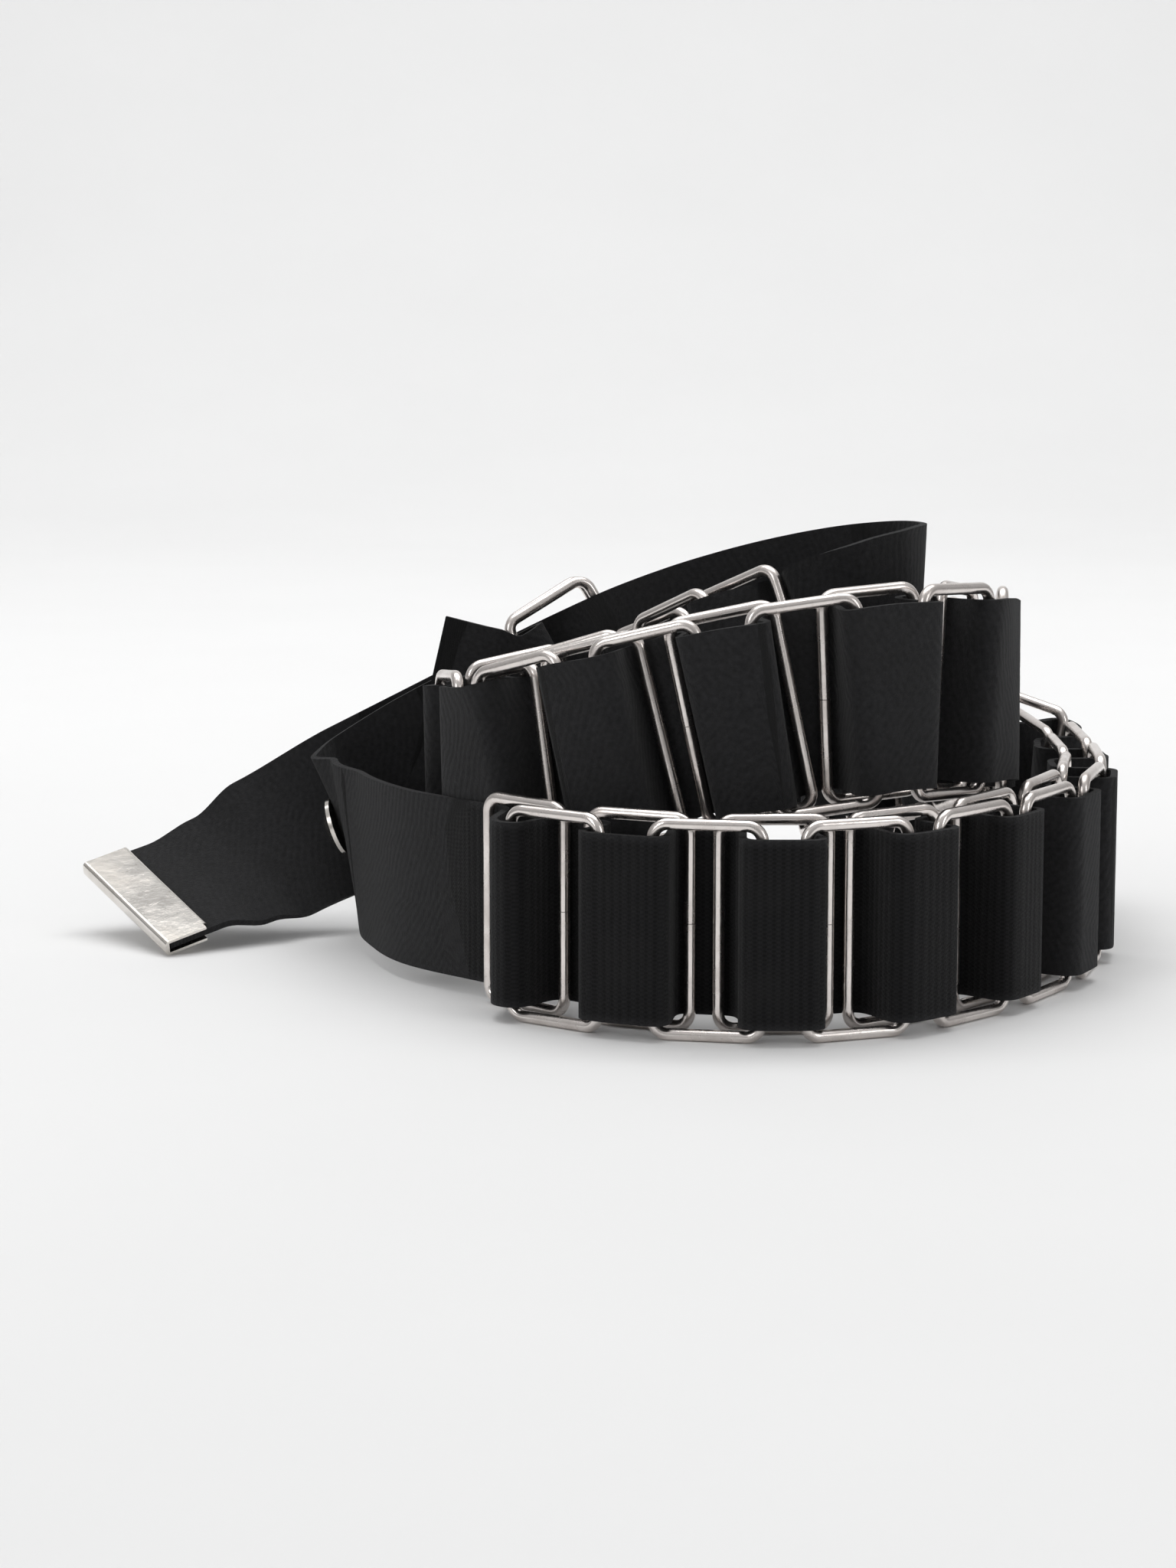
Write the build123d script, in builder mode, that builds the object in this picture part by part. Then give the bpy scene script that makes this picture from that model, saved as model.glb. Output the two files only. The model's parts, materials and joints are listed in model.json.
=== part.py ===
from build123d import *
import math
import os

# Ring-woven strap belt, buckled and laid down in a loose coil.
# Units are millimetres, +Z is up, the rings of the outer turn rest on Z = 0.

# strap
strap_width = 39.0
strap_thick = 1.55
strap_gap = 0.975         # air between strap face and ring wire

# bent wire rings
wire_dia = 2.5
ring_height = 46.0
ring_width = 25.0
bend_radius = 3.2         # centreline radius of the ring corners
butt_gap = 0.12           # open butt joint in the middle of one long bar
plane_shift = 3.6         # the two ring families sit this far either side of the middle

# spacing of the rings along the strap, counted from the first ring
first_steps = [14.6, 15.8, 16.8, 13.4, 15.6, 13.6, 15.8]
ring_total = 43
bend_spread = 0.45          # extra spacing in the bends, per radian turned

# metal tip
tip_sheet = 0.6
tip_cover = 12.0
tip_width = 40.2

# press stud
stud_dia = 13.5
stud_height = 2.6
socket_dia = 6.4

# where the object sits: shift from the layout origin to the middle of the footprint
shift_x = -1.1
shift_y = -84.4

half_long = (ring_height - wire_dia) / 2
half_short = (ring_width - wire_dia) / 2
closure_long = half_long + 1.4      # the two closure rings are a little taller
face_offset = wire_dia / 2 + strap_thick / 2 + strap_gap
up = Vector(0, 0, 1)


def spot(x, y, z):
    return Vector(x + shift_x, y + shift_y, z)


# Plain strap from the cut tail, round the closure rings and the left turn, to the first ring.
# Each entry: place of the strap middle, and the direction its upper edge leans to.
lead_in = [
    (spot(-37.0, 107.5, 56.5), Vector(0.15, 0.0, 1.0)),
    (spot(-24.0, 106.0, 53.5), Vector(0.10, 0.0, 1.0)),
    (spot(-13.0, 107.2, 51.6), Vector(-0.34, 0.0, 1.0)),
    (spot(-6.5, 107.9, 53.6), Vector(-0.50, 0.0, 1.0)),
    (spot(-1.9, 111.7, 56.3), Vector(-0.55, 0.0, 1.0)),
    (spot(-6.5, 115.5, 53.6), Vector(-0.55, 0.0, 1.0)),
    (spot(-18.0, 116.4, 47.2), Vector(-0.54, 0.0, 1.0)),
    (spot(-36.0, 117.6, 37.6), Vector(-0.52, 0.0, 1.0)),
    (spot(-49.0, 118.4, 29.5), Vector(-0.46, 0.0, 1.0)),
    (spot(-55.5, 114.0, 25.5), Vector(-0.30, 0.05, 1.0)),
    (spot(-55.5, 105.0, 23.8), Vector(-0.16, 0.05, 1.0)),
    (spot(-50.5, 86.0, 23.0), Vector(-0.04, 0.0, 1.0)),
    (spot(-41.0, 63.0, 23.0), Vector(0.0, 0.0, 1.0)),
]

# Middle line of the ring-woven part of the belt.
woven_line = [
    spot(-24.0, 34.5, 23.0),
    spot(-9.0, 19.5, 23.0),
    spot(6.0, 9.5, 23.0),
    spot(23.0, 3.6, 23.0),
    spot(41.0, 2.2, 23.0),
    spot(55.0, 5.6, 23.0),
    spot(68.0, 13.2, 23.0),
    spot(81.0, 25.4, 23.0),
    spot(93.0, 41.0, 23.0),
    spot(103.0, 58.0, 23.0),
    spot(110.0, 78.0, 23.0),
    spot(113.0, 98.0, 23.0),
    spot(113.0, 118.0, 23.2),
    spot(112.0, 136.0, 24.2),
    spot(108.2, 150.0, 26.2),
    spot(98.0, 160.2, 29.2),
    spot(84.0, 164.0, 32.6),
    spot(70.0, 160.2, 36.0),
    spot(59.8, 150.0, 39.4),
    spot(56.0, 136.0, 42.8),
    spot(59.8, 122.0, 46.2),
    spot(68.0, 108.0, 50.2),
    spot(79.5, 94.0, 54.8),
    spot(86.5, 78.5, 59.8),
    spot(86.0, 61.5, 63.8),
    spot(80.0, 46.5, 66.3),
    spot(70.0, 35.5, 67.2),
    spot(59.0, 28.5, 66.8),
    spot(45.0, 25.6, 65.4),
    spot(31.0, 25.6, 62.8),
    spot(17.0, 28.2, 59.4),
    spot(4.0, 33.0, 55.8),
    spot(-7.0, 39.2, 52.2),
    spot(-15.0, 46.6, 49.2),
    spot(-22.0, 55.2, 46.8),
    spot(-26.4, 65.0, 45.2),
    spot(-26.8, 75.6, 44.4),
    spot(-22.8, 85.4, 44.4),
    spot(-15.0, 92.6, 45.4),
    spot(-5.0, 95.6, 47.2),
    spot(5.2, 93.8, 50.2),
    spot(14.2, 87.8, 53.8),
    spot(24.6, 77.6, 59.6),
    spot(36.6, 66.0, 66.6),
]

# Plain strap from the last ring, round the right bend and through the closure rings, to the tip.
lead_out = [
    (spot(51.5, 60.5, 73.6), Vector(0.0, 0.0, 1.0)),
    (spot(63.5, 62.5, 78.0), Vector(0.0, 0.0, 1.0)),
    (spot(70.5, 69.0, 79.6), Vector(0.02, 0.0, 1.0)),
    (spot(73.4, 78.0, 79.8), Vector(0.04, 0.0, 1.0)),
    (spot(70.8, 86.8, 79.6), Vector(0.02, 0.0, 1.0)),
    (spot(61.0, 94.6, 78.2), Vector(0.0, 0.0, 1.0)),
    (spot(45.0, 101.5, 74.6), Vector(0.0, 0.0, 1.0)),
    (spot(26.0, 102.6, 69.2), Vector(0.0, 0.0, 1.0)),
    (spot(13.5, 107.0, 64.2), Vector(0.0, 0.0, 1.0)),
    (spot(3.0, 114.6, 58.8), Vector(0.0, 0.0, 1.0)),
    (spot(-8.0, 120.4, 52.8), Vector(0.0, 0.0, 1.0)),
    (spot(-30.0, 124.0, 41.2), Vector(0.0, 0.0, 1.0)),
    (spot(-53.0, 125.0, 29.4), Vector(-0.05, 0.10, 1.0)),
    (spot(-74.0, 119.5, 19.4), Vector(-0.55, 0.70, 1.0)),
    (spot(-84.0, 114.6, 14.8), Vector(-1.30, 1.45, 1.0)),
    (spot(-94.0, 108.9, 12.2), Vector(-2.60, 2.40, 1.0)),
    (spot(-106.0, 101.5, 8.6), Vector(-2.60, 2.40, 1.0)),
]


def square_to(lean, ahead):
    """Unit vector nearest to lean that is square to ahead."""
    return (lean - ahead * lean.dot(ahead)).normalized()


# ---- rings: frames along the woven line -------------------------------------------------
with BuildLine() as middle:
    Spline(*woven_line)
middle_edge = middle.edges()[0]
middle_length = middle_edge.length

first_at = 12.0
last_at = middle_length - 1.0


def on_middle(distance):
    """Point of the middle line, carried on straight past its ends."""
    kept = min(max(distance, 0.0), middle_length)
    share = kept / middle_length
    ahead = middle_edge.tangent_at(share).normalized()
    return middle_edge.position_at(share) + ahead * (distance - kept)


def chord_ahead(distance):
    """Direction of the middle line across the width of one ring."""
    return (on_middle(distance + half_short) - on_middle(distance - half_short)).normalized()


def lay_rings(even_step):
    """Distances of all rings; bends spread the rings a little."""
    places = [first_at]
    for step in first_steps:
        places.append(places[-1] + step)
    while len(places) < ring_total:
        here = places[-1]
        turn = chord_ahead(here).get_angle(chord_ahead(here + even_step))
        places.append(here + even_step * (1 + bend_spread * math.radians(turn)))
    return places


even_step = 15.0
ring_at = lay_rings(even_step)
for trial in range(8):
    fixed_part = ring_at[len(first_steps)]
    even_step = even_step * (last_at - fixed_part) / (ring_at[-1] - fixed_part)
    ring_at = lay_rings(even_step)

ring_frames = []
for index, distance in enumerate(ring_at):
    ahead = chord_ahead(distance)
    upward = square_to(up, ahead)
    outward = ahead.cross(upward)
    side = -1 if index % 2 == 0 else 1
    place = on_middle(distance)
    chord_middle = (on_middle(distance + half_short) + on_middle(distance - half_short)) / 2
    sag = (chord_middle - place).dot(outward)
    inner_side = max(sag * side, 0.0) * side
    centre = place + outward * (plane_shift * side + inner_side)
    ring_frames.append((centre, ahead, upward, outward))


# ---- strap: stations of its middle line -------------------------------------------------
# A station is (place, direction ahead or None, reach before, reach after, upper edge direction).
stations = []
for place, lean in lead_in:
    stations.append((place, None, 1.0, 1.0, lean))


def bar_station(index, end, cover, before, after):
    """Strap station over (cover 1) or under (cover -1) one long bar of a ring."""
    centre, ring_ahead, upward, _ = ring_frames[index]
    local = chord_ahead(ring_at[index] + half_short * end)
    ahead = square_to(local, upward)
    outward = ahead.cross(upward)
    place = centre + ring_ahead * (half_short * end) + outward * (face_offset * cover)
    return (place, ahead, before, after, upward)


over_reach = 1.6
under_reach = 1.7
last_ring = len(ring_frames) - 1
stations.append(bar_station(0, -1, -1, 1.0, 1.0))
for index in range(last_ring):
    if index % 2 == 0:
        stations.append(bar_station(index + 1, -1, 1, 1.0, over_reach))
        stations.append(bar_station(index, 1, -1, under_reach, 1.0))
    else:
        stations.append(bar_station(index + 1, -1, -1, 1.0, under_reach))
        stations.append(bar_station(index, 1, 1, over_reach, 1.0))
stations.append(bar_station(last_ring, 1, -1, 1.0, 1.0))
for place, lean in lead_out:
    stations.append((place, None, 1.0, 1.0, lean))


def heading(index):
    """Direction of the strap at a station."""
    own = stations[index][1]
    if own is not None:
        return own
    here = stations[index][0]
    if index == 0:
        return (stations[1][0] - here).normalized()
    if index == len(stations) - 1:
        return (here - stations[index - 1][0]).normalized()
    back = here - stations[index - 1][0]
    front = stations[index + 1][0] - here
    blend = back.normalized() * front.length + front.normalized() * back.length
    return blend.normalized()


def edge_point(index, side):
    """Point of the upper (side 1) or lower (side -1) strap edge at a station."""
    place = stations[index][0]
    lean = square_to(stations[index][4], heading(index))
    return place + lean * (side * strap_width / 2)


def edge_between(index, share, side):
    """Point of one strap edge part way from a station to the next."""
    start = edge_point(index, side)
    end = edge_point(index + 1, side)
    chord = (end - start).length
    leave = heading(index) * (chord * stations[index][3])
    arrive = heading(index + 1) * (chord * stations[index + 1][2])
    t = share
    return (
        start * (2 * t**3 - 3 * t**2 + 1)
        + leave * (t**3 - 2 * t**2 + t)
        + end * (3 * t**2 - 2 * t**3)
        + arrive * (t**3 - t**2)
    )


length_points = 40
strap_edges = []
for index in range(len(stations) - 1):
    chord = (stations[index + 1][0] - stations[index][0]).length
    pieces = max(2, round(chord / 1.5))
    for step in range(pieces):
        share = step / pieces
        strap_edges.append((edge_between(index, share, 1), edge_between(index, share, -1)))
final = len(stations) - 1
strap_edges.append((edge_point(final, 1), edge_point(final, -1)))

# A strap line entry is (place, direction ahead, half width vector).
strap_line = []
for index, (upper, lower) in enumerate(strap_edges):
    before = strap_edges[max(index - 1, 0)]
    behind = strap_edges[min(index + 1, len(strap_edges) - 1)]
    ahead = (behind[0] + behind[1] - before[0] - before[1]).normalized()
    strap_line.append(((upper + lower) / 2, ahead, (upper - lower) / 2))


def ribbon(line, thick):
    """Closed solid of rectangular section following a strap line, built in short lengths."""
    corners = [[], [], [], []]
    for place, ahead, rise in line:
        depth = ahead.cross(rise).normalized() * (thick / 2)
        corners[0].append(place + rise + depth)
        corners[1].append(place + rise - depth)
        corners[2].append(place - rise - depth)
        corners[3].append(place - rise + depth)
    last = len(line) - 1
    cuts = list(range(0, last - length_points // 2, length_points)) + [last]
    faces = []
    for first, final in zip(cuts, cuts[1:]):
        run = [0.0]
        for index in range(first + 1, final + 1):
            run.append(run[-1] + (line[index][0] - line[index - 1][0]).length)
        share = [reach / run[-1] for reach in run]
        ends = (line[first][1] * run[-1], line[final][1] * run[-1])
        edges = []
        for row in corners:
            points = row[first:final + 1]
            edges.append(Edge.make_spline(points, tangents=ends, parameters=share, scale=False))
        for one in range(4):
            faces.append(Face.make_surface_from_curves(edges[one], edges[(one + 1) % 4]))
    for end in (0, -1):
        faces.append(Face(Wire.make_polygon([row[end] for row in corners], close=True)))
    return Solid(Shell(faces))


parts = {}
os.makedirs("parts", exist_ok=True)

with BuildPart() as strap:
    add(ribbon(strap_line, strap_thick))
parts["strap"] = strap.part


# ---- rings -------------------------------------------------------------------------------
def bent_ring(centre, ahead, upward, outward, half_tall=half_long):
    """Rectangular wire ring with a butt joint half way down one long bar."""
    place = Plane(origin=centre, x_dir=ahead, z_dir=outward)
    with BuildPart(place) as ring:
        with BuildLine(place) as route:
            start = (half_short, butt_gap / 2)
            end = (half_short, -butt_gap / 2)
            FilletPolyline(
                start,
                (half_short, half_tall),
                (-half_short, half_tall),
                (-half_short, -half_tall),
                (half_short, -half_tall),
                end,
                radius=bend_radius,
            )
        with BuildSketch(Plane(origin=route.line @ 0, z_dir=route.line % 0)):
            Circle(wire_dia / 2)
        sweep(path=route.line)
    return ring.part


# Two closure rings held in the fold of the strap, their free bars round the passing strap.
fold = spot(-7.6, 111.7, 53.0)
fold_ahead = Vector(0.866, -0.04, 0.50).normalized()
fold_upward = square_to(Vector(-0.50, 0.0, 0.866), fold_ahead)
fold_outward = fold_ahead.cross(fold_upward)
for index in range(2):
    bar = fold + fold_outward * (1.4 - 2.8 * index)
    swing = -4.78 - 1.98 * index
    ring_ahead = (fold_ahead * half_short + fold_outward * swing).normalized()
    ring_outward = ring_ahead.cross(fold_upward)
    centre = bar + ring_ahead * half_short
    name = f"closure_ring_{index + 1}"
    parts[name] = bent_ring(centre, ring_ahead, fold_upward, ring_outward, closure_long)


# ---- metal tip ---------------------------------------------------------------------------
end_place, end_ahead, end_rise = strap_line[-1]
end_upward = end_rise.normalized()
tip_plane = Plane(origin=end_place, x_dir=end_ahead, z_dir=end_upward)
tip_half = strap_thick / 2 + 0.45 + tip_sheet
with BuildPart() as belt_tip:
    with BuildSketch(tip_plane.offset(-tip_width / 2)):
        with Locations((-tip_cover / 2 + 1.6, 0)):
            RectangleRounded(tip_cover, 2 * tip_half, tip_half * 0.55)
    extrude(amount=tip_width)
    with BuildSketch(tip_plane.offset(-tip_width / 2)):
        with Locations((-tip_cover / 2, 0)):
            Rectangle(tip_cover + 1.2, 2 * (tip_half - tip_sheet))
    extrude(amount=tip_width, mode=Mode.SUBTRACT)
    with BuildSketch(tip_plane.offset(-tip_width / 2)):
        with Locations((-tip_cover + 0.6, 0)):
            Rectangle(4.6, 3 * tip_half)
    extrude(amount=1.8, mode=Mode.SUBTRACT)
parts["belt_tip"] = belt_tip.part


# ---- press stud on the left turn ---------------------------------------------------------
stud_index = min(range(len(strap_line)), key=lambda i: (strap_line[i][0] - spot(-56.0, 110.5, 27.0)).length)
stud_place, stud_ahead, stud_rise = strap_line[stud_index]
stud_outward = stud_ahead.cross(stud_rise).normalized()
stud_face = strap_thick / 2 + 0.35
stud_middle = stud_place + stud_rise.normalized() * 2.0
stud_plane = Plane(origin=stud_middle + stud_outward * stud_face, z_dir=stud_outward)
with BuildPart() as stud_cap:
    with BuildSketch(stud_plane):
        Circle(stud_dia / 2)
    extrude(amount=0.9)
    with BuildSketch(stud_plane.offset(0.9)):
        Circle(stud_dia / 2)
    with BuildSketch(stud_plane.offset(stud_height)):
        Circle(stud_dia / 4)
    loft()
parts["stud_cap"] = stud_cap.part

back_plane = Plane(origin=stud_middle - stud_outward * (stud_face + 0.8), z_dir=-stud_outward)
with BuildPart() as stud_socket:
    with BuildSketch(back_plane):
        Circle(socket_dia / 2)
        Circle(1.4, mode=Mode.SUBTRACT)
    extrude(amount=1.5)
parts["stud_socket"] = stud_socket.part


for index, frame in enumerate(ring_frames):
    family = "back_ring" if index % 2 == 0 else "front_ring"
    name = f"{family}_{index // 2 + 1:02d}"
    parts[name] = bent_ring(*frame)

for name, body in parts.items():
    body.label = name
    export_step(body, f"parts/{name}.step")
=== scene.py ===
import heapq
import json
import math

import bmesh
import bpy
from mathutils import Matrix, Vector


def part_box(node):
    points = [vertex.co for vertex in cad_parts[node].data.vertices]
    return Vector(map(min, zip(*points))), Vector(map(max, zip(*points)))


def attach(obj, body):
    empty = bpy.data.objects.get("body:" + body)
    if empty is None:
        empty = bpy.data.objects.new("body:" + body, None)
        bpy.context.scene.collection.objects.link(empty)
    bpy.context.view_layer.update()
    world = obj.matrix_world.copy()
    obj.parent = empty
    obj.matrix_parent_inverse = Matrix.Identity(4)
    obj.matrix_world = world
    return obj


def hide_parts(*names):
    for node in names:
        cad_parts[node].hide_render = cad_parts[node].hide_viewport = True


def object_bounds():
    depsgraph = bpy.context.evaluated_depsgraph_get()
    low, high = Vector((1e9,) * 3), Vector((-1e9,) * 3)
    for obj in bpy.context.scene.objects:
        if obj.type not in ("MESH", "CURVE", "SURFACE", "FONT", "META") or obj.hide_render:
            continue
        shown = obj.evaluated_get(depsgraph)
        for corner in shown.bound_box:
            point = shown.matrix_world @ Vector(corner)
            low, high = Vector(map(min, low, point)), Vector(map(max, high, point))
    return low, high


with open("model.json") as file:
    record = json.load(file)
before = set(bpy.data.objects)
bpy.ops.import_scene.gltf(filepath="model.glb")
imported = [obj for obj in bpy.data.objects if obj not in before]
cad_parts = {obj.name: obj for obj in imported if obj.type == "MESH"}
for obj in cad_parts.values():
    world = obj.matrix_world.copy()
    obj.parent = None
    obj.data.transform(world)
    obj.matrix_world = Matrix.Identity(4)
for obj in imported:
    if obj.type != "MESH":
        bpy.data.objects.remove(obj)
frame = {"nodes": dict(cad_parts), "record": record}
cad_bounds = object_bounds()

# all lengths in metres
STRAP_WIDTH = 0.039
STRAP_THICK = 0.00155
RIB_PITCH = 0.0020
RIB_WANDER = 0.0006
PICK_PITCH = 0.0009
SELVEDGE = 0.0018

# where the cut tail of the strap lies, beside the closure rings
TAIL_CLEAR_OF_RINGS = 0.015
TAIL_FRONT = 0.012
TAIL_BACK = 0.030
TAIL_HALF_HEIGHT = 0.026
TAIL_LEAN = 0.15
TAIL_EDGE_BAND = 0.0008
SHORTEST_RUNG = 0.030

# floor that curves up into a backdrop
FLOOR_FRONT = -2.4
FLOOR_BACK = 1.1
FLOOR_HALF_WIDTH = 3.0
CURVE_RADIUS = 0.9
CURVE_STEPS = 12
BACKDROP_TOP = 2.6

CAMERA_PLACE = (-0.0011, -0.7974, 0.1637)
CAMERA_PITCH_DOWN = 8.82


# ---------------------------------------------------------------- node helpers
def new_material(name):
    material = bpy.data.materials.new(name)
    material.use_nodes = True
    tree = material.node_tree
    return material, tree, tree.nodes["Principled BSDF"]


def math_node(tree, operation, first, second=None):
    node = tree.nodes.new("ShaderNodeMath")
    node.operation = operation
    for index, value in enumerate((first, second)):
        if value is None:
            continue
        if isinstance(value, (int, float)):
            node.inputs[index].default_value = value
        else:
            tree.links.new(value, node.inputs[index])
    return node.outputs[0]


def times(tree, first, second):
    return math_node(tree, "MULTIPLY", first, second)


def plus(tree, first, second):
    return math_node(tree, "ADD", first, second)


def noise(tree, vector, scale, detail=4.0, rough=0.55):
    node = tree.nodes.new("ShaderNodeTexNoise")
    node.inputs["Scale"].default_value = scale
    node.inputs["Detail"].default_value = detail
    node.inputs["Roughness"].default_value = rough
    tree.links.new(vector, node.inputs["Vector"])
    return node.outputs["Fac"]


def remap(tree, value, low, high, to_low, to_high):
    node = tree.nodes.new("ShaderNodeMapRange")
    node.inputs["From Min"].default_value = low
    node.inputs["From Max"].default_value = high
    node.inputs["To Min"].default_value = to_low
    node.inputs["To Max"].default_value = to_high
    tree.links.new(value, node.inputs["Value"])
    return node.outputs["Result"]


def mix_colour(tree, factor, first, second):
    node = tree.nodes.new("ShaderNodeMix")
    node.data_type = "RGBA"
    tree.links.new(factor, node.inputs[0])
    for socket, value in ((node.inputs[6], first), (node.inputs[7], second)):
        if isinstance(value, tuple):
            socket.default_value = (*value, 1.0)
        else:
            tree.links.new(value, socket)
    return node.outputs[2]


def bump(tree, height, distance, strength, bsdf):
    node = tree.nodes.new("ShaderNodeBump")
    node.inputs["Strength"].default_value = strength
    node.inputs["Distance"].default_value = distance
    tree.links.new(height, node.inputs["Height"])
    tree.links.new(node.outputs["Normal"], bsdf.inputs["Normal"])


# ---------------------------------------------------------------- materials
def webbing():
    """Black ribbed webbing. It reads the weave attribute: metres along and across."""
    material, tree, bsdf = new_material("webbing")
    weave = tree.nodes.new("ShaderNodeAttribute")
    weave.attribute_name = "weave"
    split = tree.nodes.new("ShaderNodeSeparateXYZ")
    tree.links.new(weave.outputs["Vector"], split.inputs[0])
    along = split.outputs["X"]
    across = split.outputs["Y"]
    place = tree.nodes.new("ShaderNodeTexCoord").outputs["Object"]

    # rib columns across the strap, with picks of yarn that step by half in each half column
    wander = times(tree, noise(tree, place, 260.0), RIB_WANDER)
    column = plus(tree, along, wander)
    rib = math_node(tree, "SINE", times(tree, column, 2 * math.pi / RIB_PITCH))
    step = math_node(tree, "FLOOR", times(tree, column, 2 / RIB_PITCH))
    phase = times(tree, step, math.pi)
    pick = plus(tree, times(tree, across, 2 * math.pi / PICK_PITCH), phase)
    pick = math_node(tree, "SINE", pick)
    fuzz = noise(tree, place, 2600.0, 6.0, 0.7)
    height = plus(tree, times(tree, rib, 0.13), times(tree, pick, 0.16))
    height = plus(tree, height, times(tree, fuzz, 0.95))
    bump(tree, height, 0.00035, 0.9, bsdf)

    # painted shade: yarn tops lighter and the gaps between ribs and picks darker, following
    # the bump height, plus random fibre tone from the fuzz; brushed selvedge along both
    # edges
    gap_shade_and_fuzz = remap(tree, height, 0.10, 0.95, 0.0, 1.0)
    yarn = mix_colour(tree, gap_shade_and_fuzz, (0.0022, 0.0022, 0.0024), (0.015, 0.015, 0.016))
    half_width = STRAP_WIDTH / 2
    from_middle = math_node(tree, "SUBTRACT", across, half_width)
    from_middle = math_node(tree, "ABSOLUTE", from_middle)
    edge = remap(tree, from_middle, half_width - SELVEDGE, half_width, 0.0, 0.8)
    edge = times(tree, edge, noise(tree, place, 900.0))
    yarn = mix_colour(tree, edge, yarn, (0.036, 0.036, 0.038))
    worn = remap(tree, noise(tree, place, 55.0, 5.0), 0.50, 0.72, 0.0, 0.30)
    colour = mix_colour(tree, worn, yarn, (0.018, 0.0175, 0.0175))
    tree.links.new(colour, bsdf.inputs["Base Color"])
    matt = remap(tree, fuzz, 0.3, 0.7, 0.78, 0.96)
    tree.links.new(matt, bsdf.inputs["Roughness"])
    bsdf.inputs["Sheen Weight"].default_value = 0.07
    bsdf.inputs["Sheen Roughness"].default_value = 0.45
    bsdf.inputs["Specular IOR Level"].default_value = 0.15
    return material


def nickel(name, clean, dull, rough_low, rough_high):
    """Nickel plate with patchy tarnish, dark specks, draw marks and shallow dents."""
    material, tree, bsdf = new_material(name)
    place = tree.nodes.new("ShaderNodeTexCoord").outputs["Object"]
    cloud = noise(tree, place, 95.0, 5.0)
    tarnish = remap(tree, cloud, 0.46, 0.72, 0.0, 0.75)
    colour = mix_colour(tree, tarnish, clean, dull)
    speck = remap(tree, noise(tree, place, 1500.0, 3.0), 0.64, 0.74, 0.0, 0.35)
    colour = mix_colour(tree, speck, colour, (0.22, 0.20, 0.18))
    tree.links.new(colour, bsdf.inputs["Base Color"])
    bsdf.inputs["Metallic"].default_value = 1.0
    polish = remap(tree, cloud, 0.3, 0.7, rough_low, rough_high)
    tree.links.new(polish, bsdf.inputs["Roughness"])
    stretch = tree.nodes.new("ShaderNodeMapping")
    stretch.inputs["Scale"].default_value = (1.0, 1.0, 0.12)
    tree.links.new(place, stretch.inputs["Vector"])
    draw_marks = noise(tree, stretch.outputs["Vector"], 2200.0, 4.0, 0.6)
    dents = noise(tree, place, 240.0, 2.0)
    height = plus(tree, times(tree, draw_marks, 0.25), dents)
    bump(tree, height, 0.00012, 0.55, bsdf)
    return material


def paper(name):
    material, tree, bsdf = new_material(name)
    place = tree.nodes.new("ShaderNodeTexCoord").outputs["Object"]
    cloud = noise(tree, place, 6.0, 3.0)
    colour = mix_colour(tree, cloud, (0.80, 0.80, 0.80), (0.84, 0.84, 0.84))
    tree.links.new(colour, bsdf.inputs["Base Color"])
    bsdf.inputs["Roughness"].default_value = 0.75
    bsdf.inputs["Specular IOR Level"].default_value = 0.2
    bump(tree, noise(tree, place, 700.0), 0.0002, 0.15, bsdf)
    return material


MATERIALS = {
    "webbing": webbing(),
    "ring_wire": nickel("ring_wire", (0.80, 0.75, 0.72), (0.56, 0.51, 0.48), 0.18, 0.34),
    "tip_metal": nickel("tip_metal", (0.80, 0.77, 0.73), (0.60, 0.56, 0.51), 0.10, 0.24),
    "stud_metal": nickel("stud_metal", (0.74, 0.71, 0.67), (0.50, 0.46, 0.42), 0.12, 0.28),
}


# ---------------------------------------------------------------- the strap
def edge_links(mesh, points):
    """For each vertex, the length and far end of every edge that leaves it."""
    links = [[] for _ in points]
    for edge in mesh.edges:
        first, second = edge.vertices
        length = (points[first] - points[second]).length
        links[first].append((length, second))
        links[second].append((length, first))
    return links


def tail_vertices(points):
    """The vertices on the strap's cut tail, its free end inside the coil."""
    closure_low, closure_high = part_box("closure_ring_1")
    middle = 0.5 * (closure_low[2] + closure_high[2])
    inside = []
    for index, point in enumerate(points):
        if point.x >= closure_low[0] - TAIL_CLEAR_OF_RINGS:
            continue
        if not TAIL_FRONT < point.y < TAIL_BACK:
            continue
        if abs(point.z - middle) < TAIL_HALF_HEIGHT:
            inside.append((point.x - TAIL_LEAN * (point.z - middle), index))
    first_key = min(inside)[0]
    return [index for key, index in inside if key < first_key + TAIL_EDGE_BAND]


def distances_from(start, links):
    """Shortest way along the mesh edges from the start vertices to every vertex."""
    distance = [math.inf] * len(links)
    queue = []
    for index in start:
        distance[index] = 0.0
        heapq.heappush(queue, (0.0, index))
    while queue:
        here, index = heapq.heappop(queue)
        if here > distance[index]:
            continue
        for length, other in links[index]:
            if here + length < distance[other]:
                distance[other] = here + length
                heapq.heappush(queue, (here + length, other))
    return distance


def weave_values(mesh):
    """Place along and across the strap, in metres, for every vertex of its mesh."""
    points = [vertex.co.copy() for vertex in mesh.vertices]
    links = edge_links(mesh, points)
    distance = distances_from(tail_vertices(points), links)

    # the two ends of each rung across the strap share one place along it
    values = []
    for index, point in enumerate(points):
        rungs = [rung for rung in links[index] if rung[0] > SHORTEST_RUNG]
        across = 0.0
        along = distance[index]
        if rungs:
            opposite = min(rungs)[1]
            along = 0.5 * (along + distance[opposite])
            if points[opposite].z < point.z:
                across = STRAP_WIDTH
        values.append((along, across))
    return values


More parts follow.
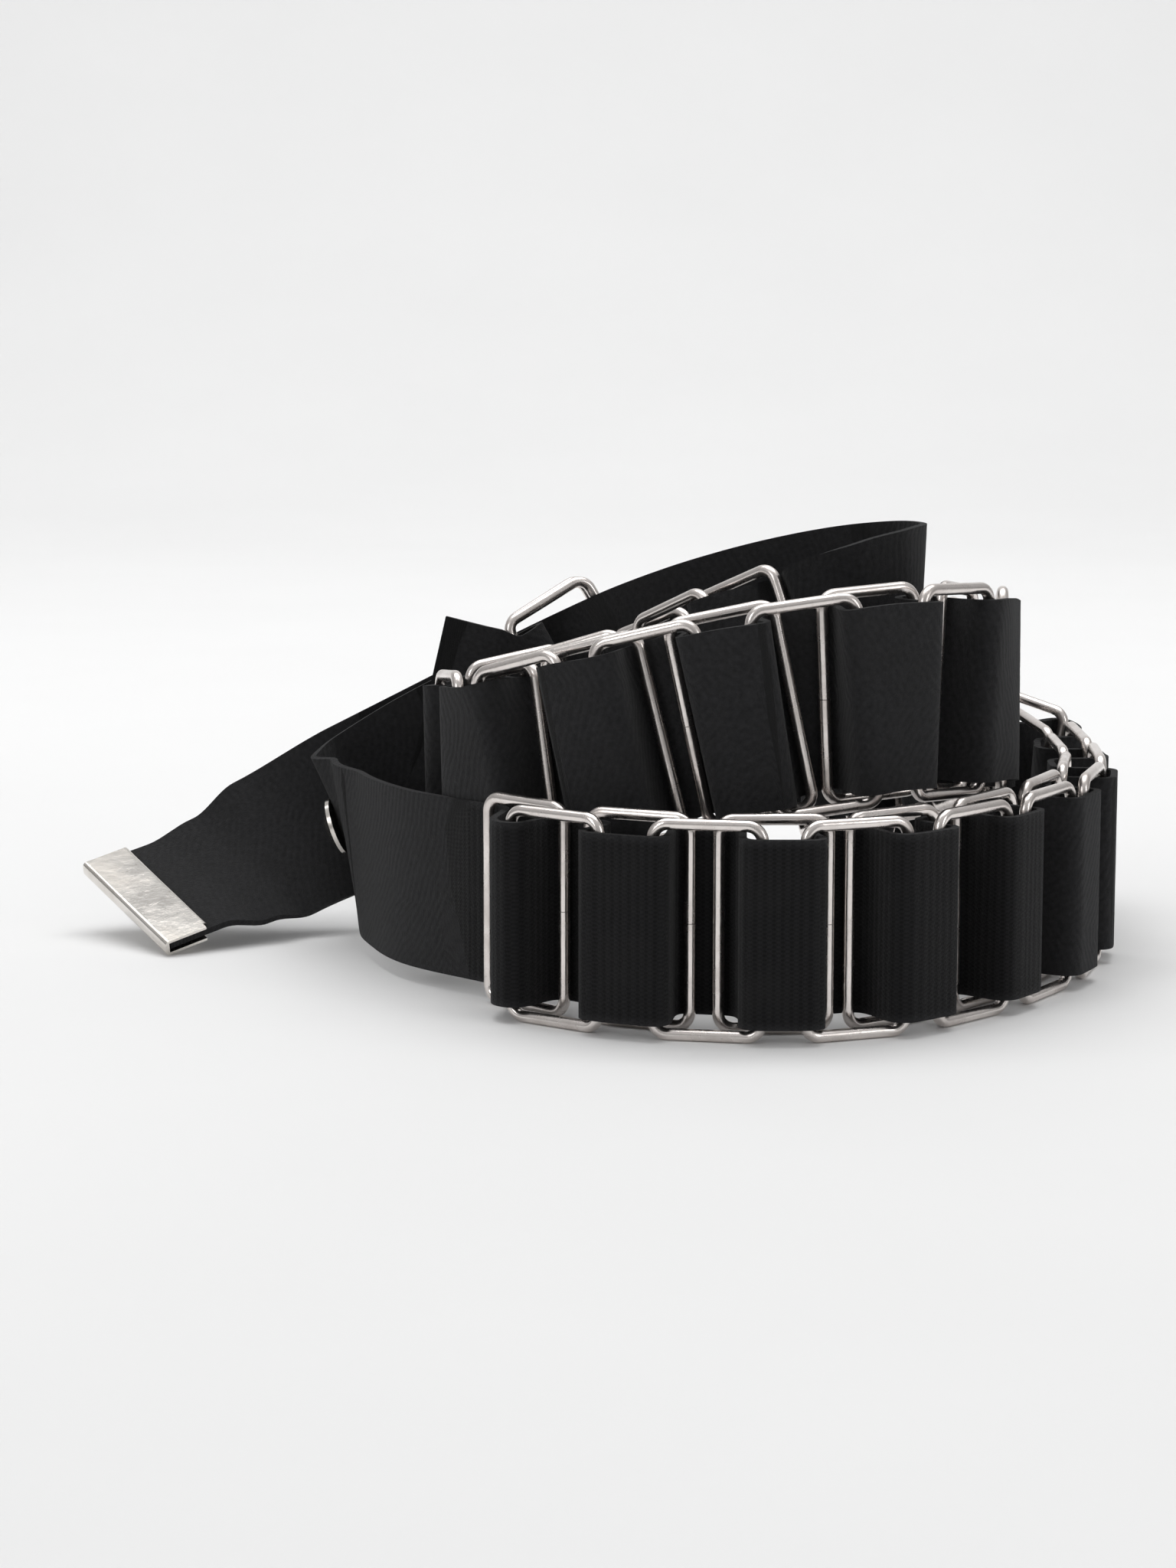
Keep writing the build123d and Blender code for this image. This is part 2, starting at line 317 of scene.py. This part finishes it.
def webbing_strap():
    """The strap as one smooth piece with a weave attribute, and its real length."""
    mesh = frame["nodes"]["strap"].data.copy()
    mesh.name = "strap_webbing"
    work = bmesh.new()
    work.from_mesh(mesh)
    bmesh.ops.remove_doubles(work, verts=work.verts, dist=2e-6)
    work.to_mesh(mesh)
    work.free()
    if "custom_normal" in mesh.attributes:
        mesh.attributes.remove(mesh.attributes["custom_normal"])
    values = weave_values(mesh)
    surface = sum(polygon.area for polygon in mesh.polygons)
    strap_length = surface / (2 * (STRAP_WIDTH + STRAP_THICK))
    stretch = strap_length / max(value[0] for value in values)
    numbers = []
    for along, across in values:
        numbers.extend((along * stretch, across, 0.0))
    weave = mesh.attributes.new("weave", "FLOAT_VECTOR", "POINT")
    weave.data.foreach_set("vector", numbers)
    for polygon in mesh.polygons:
        polygon.use_smooth = True
    mesh.set_sharp_from_angle(angle=math.radians(40))
    mesh.materials.clear()
    mesh.materials.append(MATERIALS["webbing"])
    strap = bpy.data.objects.new("strap_webbing", mesh)
    bpy.context.scene.collection.objects.link(strap)
    return strap, strap_length


strap, strap_length = webbing_strap()
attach(strap, "belt")
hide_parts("strap")

# ---------------------------------------------------------------- metal pieces
for entry in frame["record"]["subparts"]:
    name = entry["node"]
    if name == "strap":
        continue
    piece = frame["nodes"][name]
    piece.data.materials.clear()
    piece.data.materials.append(MATERIALS[entry["material_slot"]])


# ---------------------------------------------------------------- floor and light
def sweep():
    """A pale floor that curves up behind the belt."""
    profile = [(FLOOR_FRONT, 0.0), (FLOOR_BACK, 0.0)]
    for step in range(1, CURVE_STEPS + 1):
        angle = math.radians(90) * step / CURVE_STEPS
        rise = CURVE_RADIUS - CURVE_RADIUS * math.cos(angle)
        profile.append((FLOOR_BACK + CURVE_RADIUS * math.sin(angle), rise))
    profile.append((FLOOR_BACK + CURVE_RADIUS, BACKDROP_TOP))
    floor_level = min(0.0, cad_bounds[0][2])
    vertices = []
    for y, z in profile:
        vertices.append((-FLOOR_HALF_WIDTH, y, z + floor_level))
        vertices.append((FLOOR_HALF_WIDTH, y, z + floor_level))
    faces = [(2 * i, 2 * i + 1, 2 * i + 3, 2 * i + 2) for i in range(len(profile) - 1)]
    mesh = bpy.data.meshes.new("floor")
    mesh.from_pydata(vertices, [], faces)
    for polygon in mesh.polygons:
        polygon.use_smooth = True
    mesh.materials.append(paper("floor_paper"))
    floor = bpy.data.objects.new("floor", mesh)
    bpy.context.scene.collection.objects.link(floor)
    return floor


def area_light(name, place, target, size, power):
    data = bpy.data.lights.new(name, "AREA")
    data.shape = "RECTANGLE"
    data.size = size[0]
    data.size_y = size[1]
    data.energy = power
    light = bpy.data.objects.new(name, data)
    light.location = place
    aim = Vector(target) - Vector(place)
    light.rotation_euler = aim.to_track_quat("-Z", "Y").to_euler()
    bpy.context.scene.collection.objects.link(light)


sweep()
area_light("overhead", (0.0, 0.15, 1.45), (0.0, 0.05, 0.0), (1.5, 1.2), 11.5)
area_light("backdrop_wash", (0.0, 0.6, 1.8), (0.0, 2.0, 0.5), (2.6, 0.8), 15.0)
area_light("front_left", (-1.3, -1.4, 0.9), (0.0, 0.0, 0.05), (0.5, 0.9), 6.0)
area_light("front_right", (1.5, -1.1, 0.7), (0.0, 0.0, 0.05), (0.4, 0.8), 4.0)

# soft sky, brighter overhead than at the horizon
world = bpy.data.worlds.new("studio")
world.use_nodes = True
sky = world.node_tree
background = sky.nodes["Background"]
direction = sky.nodes.new("ShaderNodeTexCoord").outputs["Generated"]
direction_parts = sky.nodes.new("ShaderNodeSeparateXYZ")
sky.links.new(direction, direction_parts.inputs[0])
strength = remap(sky, direction_parts.outputs["Z"], -0.1, 0.7, 0.20, 0.52)
sky.links.new(strength, background.inputs["Strength"])
background.inputs["Color"].default_value = (1.0, 1.0, 1.0, 1.0)
bpy.context.scene.world = world

# ---------------------------------------------------------------- camera
camera_data = bpy.data.cameras.new("camera")
camera_data.lens = 82.2
camera_data.sensor_width = 36.0
camera_data.dof.use_dof = False
camera = bpy.data.objects.new("camera", camera_data)
camera.location = CAMERA_PLACE
camera.rotation_euler = (math.radians(90 - CAMERA_PITCH_DOWN), 0.0, 0.0)
bpy.context.scene.collection.objects.link(camera)
bpy.context.scene.camera = camera
bpy.context.scene.view_settings.view_transform = "Standard"
